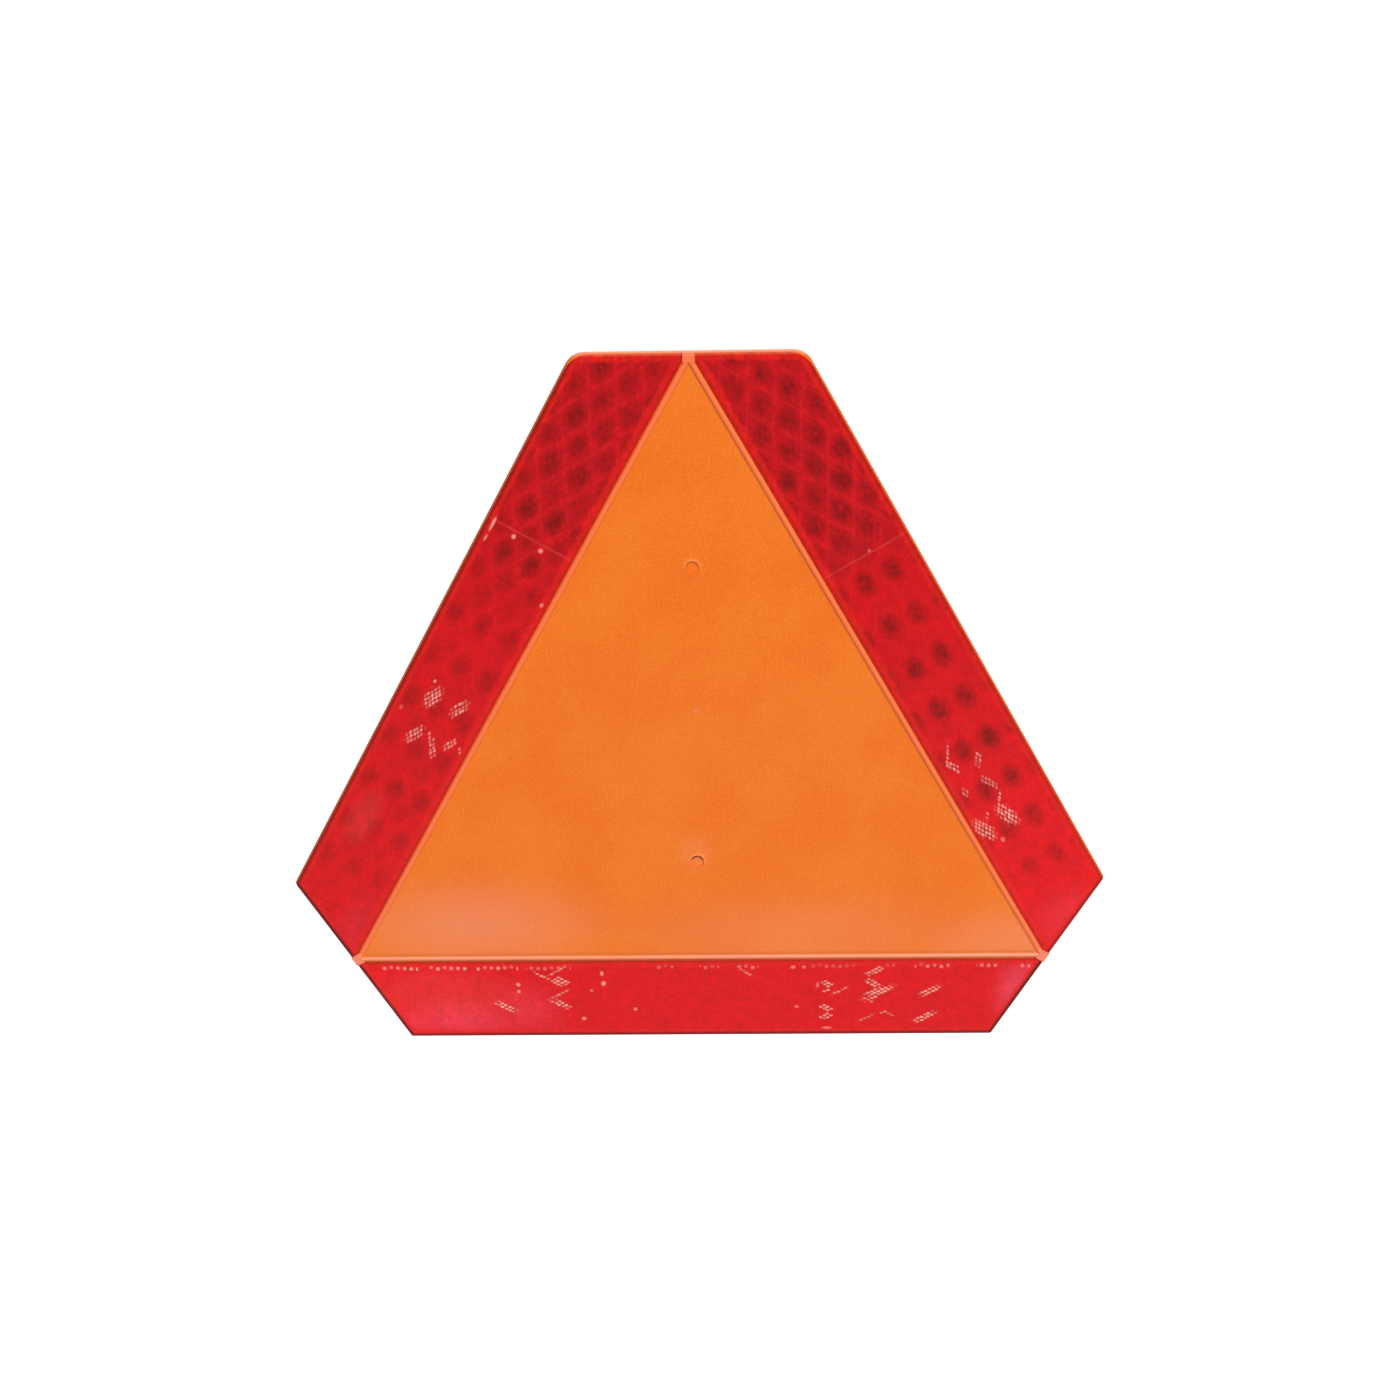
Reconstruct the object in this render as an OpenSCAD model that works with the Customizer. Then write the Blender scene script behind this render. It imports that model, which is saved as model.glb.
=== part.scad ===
// Slow moving vehicle sign: a moulded fluorescent panel with three strips of reflective tape.
// It stands upright and faces -Y, +Z is up, and its flat back lies on the plane Y = 0.
// The origin is on the back, midway between the two bolt marks. Sizes are in millimetres.
// Every shape is drawn flat, as seen from the front with X to the right, Y up and Z towards
// the viewer, from the middle of the triangle's base line, and is then stood up.

/* [Panel] */
// Side of the fluorescent triangle, to the outside of its bead
triangle_side = 350; // [280:1:420]
// Width of the border, from the triangle to the panel's outer edge
border_w = 44.5; // [38:0.5:56]
// Thickness of the plate, under the tape and in the triangle alike
plate_t = 3.2; // [2.4:0.1:4]
// Radius of the rounded front edge
edge_r = 0.6; // [0.4:0.1:1.2]
// Width and height of the small chamfer round the back
back_chamfer = 0.3; // [0.1:0.05:0.5]
// Radius of the two upper corners
top_corner_r = 9.5; // [2:0.5:14]
// Radius of the two side corners
side_corner_r = 3.5; // [1.6:0.1:6]
// Radius of the two lower corners
foot_corner_r = 1.6; // [1.6:0.1:6]

/* [Bead] */
// Width of the bead round the triangle, where it meets the plate
bead_w = 2.8; // [2.4:0.1:4]
// Height of the bead's crest above the plate
bead_h = 0.95; // [0.6:0.05:1.2]
// Width of the land that carries the beads to the edge at each point of the triangle
land_w = 5.4; // [5:0.1:8]
// Height of the land above the bead's crest
land_step = 0.1; // [0.05:0.05:0.1]

/* [Bolt marks] */
// Radius of the closed bolt holes, for a quarter-inch bolt
bolt_r = 3.3; // [2:0.1:4.5]
// Distance between the two bolt holes
bolt_spacing = 150; // [100:1:180]
// Height of the pattern's centre above the triangle's base line
bolt_centre_h = 130; // [110:1:140]
// Depth of the upper hole, from the plate's front to the floor that closes it
upper_depth = 0.3; // [0.3:0.05:1.5]
// Depth of the lower hole, from the plate's front to the floor that closes it
lower_depth = 0.5; // [0.3:0.05:1.5]
// Radius of the drill point in the middle of each floor
pilot_r = 0.9; // [0.4:0.1:1.5]
// Depth of the drill point
pilot_depth = 0.1; // [0.1:0.05:0.4]
// Outer radius of the low ring round each hole
ring_r = 5.2; // [5.2:0.1:7]
// Height of that ring above the plate
ring_h = 0.2; // [0.15:0.05:0.5]
// Width of the ring's flat crest
ring_crest_w = 0.4; // [0.2:0.1:0.6]

/* [Moulding gate] */
// Height of the gate mark above the bolt pattern's centre
gate_offset = 4; // [0:1:20]
// Radius of the gate's dish at the surface
gate_r = 2.6; // [2.6:0.1:4]
// Radius of the dish's flat floor
gate_floor_r = 1.8; // [1.8:0.1:2.4]
// Depth of the gate's dish
gate_depth = 0.1; // [0.1:0.05:0.6]
// Radius of the stub left in the dish, at its foot
stub_r = 1.6; // [0.8:0.1:1.7]
// Radius of the stub's flat top
stub_top_r = 0.5; // [0.2:0.1:0.7]
// Height of the stub, from the dish's floor
stub_h = 0.2; // [0.1:0.05:0.4]

/* [Tape] */
// Thickness of the tape at its seal lines and plain edges
tape_t = 0.4; // [0.2:0.05:0.6]
// Gap between a side tape and the bead, and between any tape and the lands
tape_gap = 0.2; // [0.05:0.05:1]
// Gap between the bottom tape and the bead
bottom_gap = 0.8; // [0.05:0.05:1.5]
// Gap between the tape and the start of the rounded edge
edge_gap = 0.15; // [0.05:0.05:0.5]
// Radius of a side tape's corner at the top of the sign
tape_top_r = 13; // [1:0.5:16]
// Radius of the other outer corners of the tapes
tape_corner_r = 1; // [0.5:0.1:5]
// Length of a reflective cell along the tape
cell_l = 24; // [16:0.5:36]
// Width of a reflective cell across the tape
cell_w = 14.1; // [10:0.1:22]
// Height that a cell stands above its seal lines
cell_rise = 0.05; // [0.05:0.05:0.2]
// Width of the seal lines between the cells
seal_w = 1.1; // [0.6:0.1:2]
// Width of the plain sealed edge round a tape
tape_margin = 3.6; // [2:0.1:8]
// Shift of the cell rows from the middle of the border outwards
row_shift = 0.6; // [-3:0.1:3]
// Shift of the cells along the left tape, from its middle
left_shift = -6; // [-12:1:12]
// Shift of the cells along the right tape, from its middle
right_shift = -5; // [-12:1:12]
// Shift of the cells along the bottom tape, from its middle
bottom_shift = -10; // [-12:1:12]
// Cells from the shifted middle of a side tape to its cross seal
seam_cells = 2.5; // [0.5:1:4.5]

/* [Hidden] */
$fn = 64;
orange = "#f0772e";
red = "#c81e26";
lap = 1;                    // how far a cutting solid runs past the face that it cuts
cut_angle = 60;             // between a side of the triangle and the end cuts at its points
turn = 120;                 // from one side of the triangle to the next
arc_step = 10;              // degrees between the points of a rounded corner
edge_step = 15;             // degrees between the loops of the rounded front edge
outer_angle = 180 - turn;   // turned at each of the panel's six corners

centroid_h = triangle_side / 2 / sqrt(3);
bead_r = (pow(bead_w / 2, 2) + pow(bead_h, 2)) / (2 * bead_h);
bead_end = triangle_side / 2 - bead_w * cos(outer_angle / 2);
tape_out = border_w - edge_r - edge_gap;
left_seam = left_shift - seam_cells * cell_l;
right_seam = right_shift + seam_cells * cell_l;

function unit(v) = v / norm(v);

// Half the length of a side strip's line at a distance out from the triangle, taken in from
// the end cuts by a perpendicular distance
function half_line(out, inset) = triangle_side / 2 - out / tan(cut_angle) - inset / sin(cut_angle);

// The four corners of a border strip, inset all round, along the triangle's base
function strip(inner, outer, inset) = [
    [-half_line(inner, inset), -inner], [-half_line(outer, inset), -outer],
    [half_line(outer, inset), -outer], [half_line(inner, inset), -inner]];

function turned(p, a) = [
    p.x * cos(a) - (p.y - centroid_h) * sin(a),
    p.x * sin(a) + (p.y - centroid_h) * cos(a) + centroid_h];

// The panel's six corners, inset from its outer edge, anticlockwise from the lower left
function panel_corners(inset) = [
    for (k = [0 : 2], side = [-1, 1])
        turned([side * half_line(border_w - inset, inset), inset - border_w], k * turn)];
corner_radii = [foot_corner_r, foot_corner_r, side_corner_r, top_corner_r, top_corner_r, side_corner_r];

// One corner of a convex outline, rounded: the arc's points between its two tangent points
function round_corner(before, at, after, r) =
    let (a = unit(before - at), b = unit(after - at),
         half = acos(a * b) / 2,
         centre = at + unit(a + b) * r / sin(half),
         start = atan2((at + a * r / tan(half) - centre).y, (at + a * r / tan(half) - centre).x),
         steps = round((180 - 2 * half) / arc_step))
    [for (i = [0 : steps]) let (t = start + (180 - 2 * half) * i / steps)
        centre + r * [cos(t), sin(t)]];

// A convex outline whose corners run anticlockwise, each with its own radius
function rounded(points, radii) =
    let (n = len(points))
    [for (i = [0 : n - 1]) each radii[i] == 0 ? [points[i]]
        : round_corner(points[(i + n - 1) % n], points[i], points[(i + 1) % n], radii[i])];

module stand_up() {
    rotate([90, 0, 0]) translate([0, -bolt_centre_h, 0]) children();
}

// Turns what is drawn on the triangle's base line to one of its three sides
module on_side(k) {
    translate([0, centroid_h, 0]) rotate(k * turn) translate([0, -centroid_h, 0]) children();
}

// One loop round the panel, inset from its outer edge and at a height
function edge_loop(inset, h) = [
    for (p = rounded(panel_corners(inset), [for (r = corner_radii) r - inset])) [p.x, p.y, h]];

// A plate with the panel's outline, drawn as loops from its back over the rounded front edge
module plate(t) {
    loops = [edge_loop(back_chamfer, 0), edge_loop(0, back_chamfer),
        for (a = [0 : edge_step : 90]) edge_loop(edge_r * (1 - cos(a)), t - edge_r * (1 - sin(a)))];
    n = len(loops[0]);
    front = (len(loops) - 1) * n;
    polyhedron([for (l = loops) each l], [
        [for (i = [0 : n - 1]) i],
        [for (i = [n - 1 : -1 : 0]) front + i],
        for (k = [0 : n : front - n], i = [0 : n - 1]) let (j = (i + 1) % n)
            [k + i, k + n + i, k + n + j, k + j]]);
}

// The bead along one side, a round bar sunk in the plate until only its crest shows
module bead() {
    translate([-bead_end, bead_w / 2, plate_t + bead_h - bead_r]) rotate([0, 90, 0])
        cylinder(r = bead_r, h = 2 * bead_end);
}

// The flat land that carries two beads to the edge, at the right-hand point of the base
module land() {
    reach = land_w / 2 / tan(outer_angle / 2);
    translate([triangle_side / 2, 0, 0]) rotate(-outer_angle / 2)
        translate([-reach, -land_w / 2, plate_t / 2]) cube([reach + lap, land_w, plate_t]);
}

// Moves what is drawn at the origin up the centre line, from the middle of the bolt pattern
module up_from_centre(h) {
    translate([0, bolt_centre_h + h, 0]) children();
}

// The low ring round a bolt hole, which starts inside the plate
module ring() {
    rotate_extrude() polygon([
        [0, plate_t / 2], [ring_r, plate_t / 2], [ring_r, plate_t],
        [bolt_r + ring_crest_w, plate_t + ring_h], [0, plate_t + ring_h]]);
}

// A closed bolt hole with its drill point, as it is cut into the front
module bolt_hole(depth) {
    floor_h = plate_t - depth;
    rotate_extrude() polygon([
        [0, floor_h - pilot_depth], [pilot_r, floor_h], [bolt_r, floor_h],
        [bolt_r, plate_t + ring_h + lap], [0, plate_t + ring_h + lap]]);
}

// The gate's dish, as it is cut into the front
module gate_dish() {
    rotate_extrude() polygon([
        [0, plate_t - gate_depth], [gate_floor_r, plate_t - gate_depth], [gate_r, plate_t],
        [gate_r, plate_t + lap], [0, plate_t + lap]]);
}

// The stub of the sprue, left standing in the gate's dish
module stub() {
    floor_h = plate_t - gate_depth;
    rotate_extrude() polygon([
        [0, plate_t / 2], [stub_r, plate_t / 2], [stub_r, floor_h],
        [stub_top_r, floor_h + stub_h], [0, floor_h + stub_h]]);
}

// Moulded panel: plate, beads, lands and rings in one piece
module panel() {
    color(orange) stand_up() {
        difference() {
            union() {
                plate(plate_t);
                for (k = [0 : 2]) on_side(k) bead();
                intersection() {
                    plate(plate_t + bead_h + land_step);
                    for (k = [0 : 2]) on_side(k) land();
                }
                for (side = [-1, 1]) up_from_centre(side * bolt_spacing / 2) ring();
            }
            up_from_centre(bolt_spacing / 2) bolt_hole(upper_depth);
            up_from_centre(-bolt_spacing / 2) bolt_hole(lower_depth);
            up_from_centre(gate_offset) gate_dish();
        }
        up_from_centre(gate_offset) stub();
    }
}

// The cut shape of a tape, a gap away from the bead, with a radius at each end of its outer edge
module tape_outline(gap, left_r, right_r) {
    clear = land_w / 2 + tape_gap;
    difference() {
        polygon(rounded(strip(gap, tape_out, border_w - tape_out), [0, left_r, right_r, 0]));
        for (end = [0, 1]) mirror([end, 0]) translate([triangle_side / 2, 0])
            rotate(-outer_angle / 2) translate([-2 * land_w, -clear]) square([3 * land_w, 2 * clear]);
    }
}

// The rhombic cells, row by row, with a seal line left between neighbours
module cells(shift) {
    half_l = cell_l / 2;
    half_w = cell_w / 2;
    columns = ceil(triangle_side / 2 / half_l) + 2;
    rows = ceil(border_w / 2 / half_w);
    keep = 1 - seal_w / 2 * norm([half_l, half_w]) / (half_l * half_w);
    for (i = [-columns : columns], j = [-rows : rows]) if ((i + j) % 2 != 0)
        translate([shift + i * half_l, j * half_w - border_w / 2 - row_shift])
            polygon(keep * [[half_l, 0], [0, half_w], [-half_l, 0], [0, -half_w]]);
}

// A tape with its field of raised cells, and a cross seal where the tape has one
module tape(k, gap, shift, left_r, right_r, seams) {
    outer = tape_out - tape_margin;
    color(red) stand_up() on_side(k) translate([0, 0, plate_t]) {
        linear_extrude(tape_t) tape_outline(gap, left_r, right_r);
        linear_extrude(tape_t + cell_rise) difference() {
            intersection() {
                polygon(strip(gap + tape_margin, outer, border_w - outer));
                cells(shift);
            }
            for (at = seams) translate([at - seal_w / 2, -border_w]) square([seal_w, border_w]);
        }
    }
}

module bottom_tape() {
    tape(0, bottom_gap, bottom_shift, tape_corner_r, tape_corner_r, []);
}

module right_tape() {
    tape(1, tape_gap, right_shift, tape_corner_r, tape_top_r, [right_seam]);
}

module left_tape() {
    tape(2, tape_gap, left_shift, tape_top_r, tape_corner_r, [left_seam]);
}

panel();
left_tape();
right_tape();
bottom_tape();
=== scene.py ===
"""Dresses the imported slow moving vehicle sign: a fluorescent moulding and prismatic tape."""

import math

import bpy
from mathutils import Matrix, Vector

MM = 0.001

# Sizes that the finishes follow, the same as the part's own, in millimetres
TRIANGLE_SIDE = 350.0
BORDER_W = 44.5
PLATE_T = 3.2
BOLT_CENTRE_H = 130.0  # from the triangle's base up to the origin, midway between the bolts
BOLT_SPACING = 150.0
BOLT_R = 3.3
RING_R = 5.2  # the low ring round each bolt mark
CELL_L = 24.0  # a rhombic cell along its tape
CELL_W = 14.1  # and across it
ROW_SHIFT = 0.6  # how far the rows lie outside the border's middle
SEAM_CELLS = 2.5  # cells between the tape's shifted middle and its cross seal
SEAL_W = 1.1  # the weld between two cells
PRISM_ROWS = 7  # rows of prisms along a cell's side

# The tapes run clockwise round the triangle, each from one of its points to the next.
# shift moves the cells along from the tape's middle, and seam is the side of them that the cross
# seal is on. The four numbers after seam are how dark the painted shade on the cut edge is along
# the outside, at either end and along the bead, and pale_end says which end catches the light
# from above instead.
TOP_H = TRIANGLE_SIDE * math.sqrt(3) / 2 - BOLT_CENTRE_H
APEX = Vector((0, 0, TOP_H))
FOOT_LEFT = Vector((-TRIANGLE_SIDE / 2, 0, -BOLT_CENTRE_H))
FOOT_RIGHT = Vector((TRIANGLE_SIDE / 2, 0, -BOLT_CENTRE_H))
TAPES = {
    "left_tape": dict(
        start=FOOT_LEFT, end=APEX, shift=-6.0, seam=-1, edge_shade=(0.75, 1.0, 0.0, 0.2), pale_end=1
    ),
    "right_tape": dict(
        start=APEX, end=FOOT_RIGHT, shift=-5.0, seam=1, edge_shade=(0.35, 0.0, 0.7, 0.3), pale_end=-1
    ),
    "bottom_tape": dict(
        start=FOOT_RIGHT,
        end=FOOT_LEFT,
        shift=-10.0,
        seam=0,
        edge_shade=(0.85, 1.0, 1.0, 0.35),
        pale_end=0,
    ),
}

# How the film's painted light and shade change along each tape: millimetres from its start,
# then how dark the middles of the cells are in the two full rows, how dark they are in the three
# rows between and beside those, how deep the red is around them, all three painted shade where
# the prisms send the light away, and how much lighter all of it is, a painted veil of reflected
# light
LIGHT_AND_SHADE_ALONG = {
    "left_tape": [
        (0, 0.0, 0.0, 0.0, 0.0),
        (50, 0.2, 0.35, 0.05, 0.0),
        (100, 0.3, 0.55, 0.15, 0.0),
        (190, 0.0, 0.5, 0.35, 0.0),
        (228, 0.8, 0.55, 0.6, 0.0),
        (250, 1.0, 0.6, 0.85, 0.0),
        (350, 0.9, 0.7, 0.9, 0.0),
    ],
    "right_tape": [
        (0, 0.6, 0.5, 0.85, 0.0),
        (36, 0.9, 0.8, 0.9, 0.0),
        (72, 1.0, 0.95, 0.9, 0.0),
        (112, 1.0, 0.8, 0.85, 0.0),
        (126, 0.9, 0.0, 0.45, 0.0),
        (228, 1.0, 0.0, 0.25, 0.0),
        (253, 0.95, 0.0, 0.15, 0.05),
        (278, 0.8, 0.0, 0.1, 0.09),
        (301, 0.6, 0.0, 0.05, 0.11),
        (330, 0.0, 0.0, 0.0, 0.11),
    ],
    "bottom_tape": [
        (0, 0.0, 0.0, 0.0, 0.03),
        (270, 0.0, 0.0, 0.0, 0.05),
        (305, 0.0, 0.0, 0.0, 0.14),
        (350, 0.0, 0.0, 0.0, 0.14),
    ],
}

# Where prisms catch a lamp: centre along and across the tape, length of the patch along the
# rising and along the falling seals, in millimetres, and strength
GLINTS = {
    "left_tape": [
        (127.5, 26.2, 6.0, 9.3, 0.85),
        (149.5, 28.0, 7.0, 9.3, 0.9),
        (149.5, 13.8, 6.0, 9.3, 0.85),
        (130.5, 10.3, 4.6, 7.0, 0.75),
        (126.5, 16.2, 9.3, 4.6, 0.65),
        (130.0, 20.0, 4.6, 2.3, 0.6),
        (129.5, 4.3, 4.6, 2.3, 0.45),
        (156.5, 30.6, 2.3, 2.3, 0.7),
    ],
    "right_tape": [
        (269.2, 19.4, 11.6, 7.0, 1.0),
        (269.4, 5.8, 11.6, 7.0, 1.0),
        (233.5, 7.6, 7.0, 4.6, 1.0),
        (248.5, 19.6, 9.3, 4.6, 0.6),
        (249.0, 7.0, 4.6, 4.6, 0.55),
        (233.5, 21.0, 4.6, 4.6, 0.6),
        (225.0, 9.0, 2.3, 9.3, 0.65),
        (258.5, 19.5, 2.3, 7.0, 0.6),
        (239.0, 18.6, 4.6, 4.6, 0.35),
        (264.5, 10.0, 2.3, 4.6, 0.45),
    ],
    "bottom_tape": [
        (58.8, 33.6, 11.9, 4.0, 1.0),
        (58.8, 19.0, 11.9, 4.0, 0.9),
        (84.5, 19.6, 15.9, 4.0, 1.0),
        (87.5, 19.0, 9.3, 2.3, 0.8),
        (87.0, 13.0, 4.0, 8.0, 0.9),
        (86.5, 6.3, 9.3, 4.6, 0.85),
        (81.0, 32.0, 4.6, 2.3, 0.65),
        (89.0, 34.0, 7.0, 2.3, 0.6),
        (78.5, 33.0, 2.3, 4.6, 0.4),
        (88.5, 25.0, 2.3, 4.6, 0.5),
        (109.5, 28.2, 4.0, 6.0, 0.95),
        (110.0, 33.5, 6.0, 4.0, 0.85),
        (104.0, 18.8, 7.0, 2.3, 0.7),
        (109.5, 14.0, 4.0, 6.0, 0.95),
        (109.5, 18.6, 4.6, 2.3, 0.8),
        (246.0, 26.0, 4.0, 9.9, 0.95),
        (245.5, 19.6, 9.3, 2.3, 0.9),
        (245.5, 12.2, 4.0, 8.0, 0.95),
        (252.0, 11.5, 2.3, 14.0, 0.85),
        (247.0, 6.2, 9.3, 2.3, 0.8),
        (274.5, 27.2, 4.0, 11.9, 1.0),
        (152.0, 6.5, 2.3, 7.0, 0.5),
    ],
}

# Single bright specks and two wide faint patches, all painted highlights where the film catches
# the light: centre along and across the tape, half length and half height, and strength
GLINT_SPECKS = {
    "left_tape": [
        (238.2, 29.2, 1.3, 1.2, 0.7),
        (238.2, 15.4, 1.3, 1.2, 0.65),
        (215.3, 3.2, 1.3, 1.0, 0.5),
        (239.0, 40.2, 4.2, 0.8, 0.7),
        (231.5, 40.2, 2.2, 0.7, 0.45),
        (137.5, 38.5, 1.6, 1.0, 0.2),
        (76.0, 30.0, 18.0, 8.0, 0.035),
    ],
    "right_tape": [(280.0, 11.0, 1.6, 1.2, 0.35), (119.0, 24.7, 1.0, 0.9, 0.25)],
    "bottom_tape": [
        (267.3, 18.0, 1.0, 1.2, 0.6),
        (267.3, 13.9, 1.2, 1.3, 0.7),
        (234.5, 34.0, 1.3, 1.2, 0.65),
        (223.8, 13.5, 1.4, 1.6, 0.75),
        (224.5, 7.6, 1.0, 1.6, 0.7),
        (208.0, 28.6, 1.2, 1.2, 0.55),
        (230.0, 17.6, 1.0, 1.0, 0.4),
        (125.5, 27.6, 1.2, 1.0, 0.4),
        (122.0, 4.6, 1.1, 1.0, 0.45),
        (127.5, 4.6, 1.4, 1.1, 0.55),
        (110.0, 40.3, 2.6, 0.8, 0.5),
        (115.0, 15.0, 1.0, 2.0, 0.3),
        (306.0, 18.0, 42.0, 15.0, 0.035),
    ],
}

# Soft pale patches of painted reflection on the film: centre along and across the tape, half
# length and half height, and strength
FILM_REFLECTIONS = {
    "left_tape": [(14.0, 8.0, 30.0, 12.0, 0.2)],
    "right_tape": [(336.0, 20.0, 20.0, 24.0, 0.32)],
    "bottom_tape": [
        (297.0, 35.0, 38.0, 15.0, 0.58),
        (318.0, 35.0, 20.0, 10.0, 0.5),
        (264.0, 30.0, 24.0, 20.0, 0.38),
        (12.0, 20.0, 16.0, 26.0, 1.0),
    ],
}

# A row of small bright prisms along a seal, painted glints where they catch a lamp: its distance
# across the tape, then the stretches that show, from and to along the tape, and their strength
GLINT_ROWS = {
    "bottom_tape": (
        4.1,
        [
            (8.0, 13.0, 0.5),
            (24.0, 35.0, 0.65),
            (48.0, 66.0, 0.55),
            (76.0, 82.0, 0.3),
            (96.0, 118.0, 0.3),
            (145.0, 157.0, 0.5),
            (165.0, 175.0, 0.35),
            (188.0, 198.0, 0.4),
            (240.0, 263.0, 0.35),
            (267.0, 288.0, 0.75),
            (293.0, 312.0, 0.8),
            (318.0, 337.0, 0.9),
        ],
    ),
}
DOT_STEP = 3.4  # from one bright prism of such a row to the next


def linear(hex_colour):
    """A colour written as sRGB hex, as the linear RGBA that a socket takes."""
    channels = [int(hex_colour[i : i + 2], 16) / 255 for i in (1, 3, 5)]
    return (*[c / 12.92 if c <= 0.04045 else ((c + 0.055) / 1.055) ** 2.4 for c in channels], 1.0)


def add(tree, kind, inputs=(), out=0, **settings):
    """Adds a shader node, sets its properties, and fills or links its inputs, given in order or
    as a dict by name or number. Gives its output socket numbered out."""
    node = tree.nodes.new("ShaderNode" + kind)
    for name, value in settings.items():
        setattr(node, name, value)
    for key, value in inputs.items() if isinstance(inputs, dict) else enumerate(inputs):
        if isinstance(value, bpy.types.NodeSocket):
            tree.links.new(value, node.inputs[key])
        else:
            node.inputs[key].default_value = value
    return node.outputs[out] if node.outputs else None


def new_material(name):
    """A material of that name, and its tree with nothing in it."""
    material = bpy.data.materials.new(name)
    material.use_nodes = True
    material.node_tree.nodes.clear()
    return material, material.node_tree


def dress(piece, material):
    """Gives a piece one material all over."""
    piece.data.materials.clear()
    piece.data.materials.append(material)


# ---------------------------------------------------------------- what both plastics share

PLASTIC_IOR = 1.49  # polypropylene and acrylic are alike in this
FAR = 1e3  # half an oval's size in the direction that doesn't count
PATCH_END = 1.2  # where a soft patch has faded out, in its half sizes
NOISE = (0.3, 0.7)  # nearly all values of a noise lie between these
NOISE_CORE = (0.35, 0.65)  # and most of them between these


def reach(tree, place, middle, halves, turn=(0, 0, 0)):
    """How far a place is from the middle of an oval, where 1 is the oval's edge."""
    oval = add(
        tree,
        "Mapping",
        {"Vector": place, "Location": middle, "Rotation": turn, "Scale": halves},
        vector_type="TEXTURE",
    )
    return add(tree, "VectorMath", [oval], out=1, operation="LENGTH")


def soft_patches(tree, place, patches, solid=0.0):
    """The strongest of some oval patches at a place. Each is given by its middle along X and Z,
    its half length, its half height and its strength, and fades out from the share solid."""
    shown = 0.0
    for at, out_at, half_l, half_h, strength in patches:
        off = reach(tree, place, (at, 0, out_at), (half_l, FAR, half_h))
        patch = add(
            tree,
            "MapRange",
            (off, PATCH_END, solid, 0.0, strength),
            interpolation_type="SMOOTHSTEP",
        )
        shown = add(tree, "Math", (shown, patch), operation="MAXIMUM")
    return shown


def layered(tree, base, layers, shade):
    """The base colour with each layer's colour mixed over it by its amount, and then all of it
    made lighter or darker by the shade."""
    colour = linear(base)
    for amount, top in layers:
        colour = add(
            tree, "Mix", {0: amount, 6: colour, 7: linear(top)}, out=2, data_type="RGBA"
        )
    return add(tree, "VectorMath", {0: colour, "Scale": shade}, operation="SCALE")


def finish_plastic(tree, colour, roughness, specular, relief, relief_depth):
    """Ends a tree in a plastic surface with a fine relief, its depth in millimetres."""
    skin = add(tree, "Bump", {"Height": relief, "Distance": relief_depth * MM, "Strength": 1.0})
    shader = add(
        tree,
        "BsdfPrincipled",
        {
            "Base Color": colour,
            "Roughness": roughness,
            "Normal": skin,
            "IOR": PLASTIC_IOR,
            "Specular IOR Level": specular,
        },
    )
    add(tree, "OutputMaterial", {"Surface": shader})


# ---------------------------------------------------------------- the moulded panel

MOULDED_ORANGE = "#ec6e0c"
MOULDED_ORANGE_PALE = "#f17a1c"
CREST_HIGHLIGHT_PINK = "#f97545"  # painted highlight on the crests of the beads
UPLIT_PEACH = "#f0a184"  # painted highlight where the rim and the bottom bead face up to the light
# Painted shade where the rim turns down, and painted shadow beside the bottom bead
RIM_SHADE_MAROON = "#86140f"
# Painted shadow in the upper halves of the bolt marks
RECESS_SHADOW_BROWN = "#7c1c06"
# Painted reflection low on the triangle, and paler spots near the lower mark and the middle
PALE_SHEEN_ORANGE = "#f28a60"
# Painted shade in the crease at the inner foot of the bottom bead
FOOT_SHADE_BROWN = "#c06a38"
# Painted highlight on the upper halves of the rings round the bolt marks
RING_HIGHLIGHT_ORANGE = "#ff9a55"

FLOW_SIZE = 45.0  # clouds where the melt met as it filled the mould
FLOW_PALE = 0.3  # how much they add to the paler orange, or take from it
SPECKLE_SIZE = 4.0  # pigment that didn't quite mix
SPECKLE_PALE = 0.7
GRAIN_SIZE = 1.1  # spark-eroded grain, drawn about twice as coarse as it is so that it shows
GRAIN_PALE = (-0.35, 0.65)
GRAIN_SHADE = 0.03  # how much the grain lightens and darkens the colour
GRAIN_DEPTH = 0.012  # millimetres
SATIN = (0.36, 0.46)  # roughness at the grain's bottoms and tops
MOULDED_SPECULAR = 0.3

# Heights above the back
CREST_FROM = PLATE_T + 0.3  # where a bead's sides turn into its crest
CREST_FULL = PLATE_T + 0.9
RIM_FROM = PLATE_T - 1.4  # the painted shade on the side wall is faint below this, and full from RIM_FULL
RIM_FULL = PLATE_T - 0.6
RING_SIDE = (PLATE_T + 0.03, PLATE_T + 0.15)
FACE_END = (PLATE_T + 0.02, PLATE_T + 0.05)  # the plate's face is below, its beads above
MARK_MOUTH = (PLATE_T - 0.1, PLATE_T + 0.1)

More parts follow.
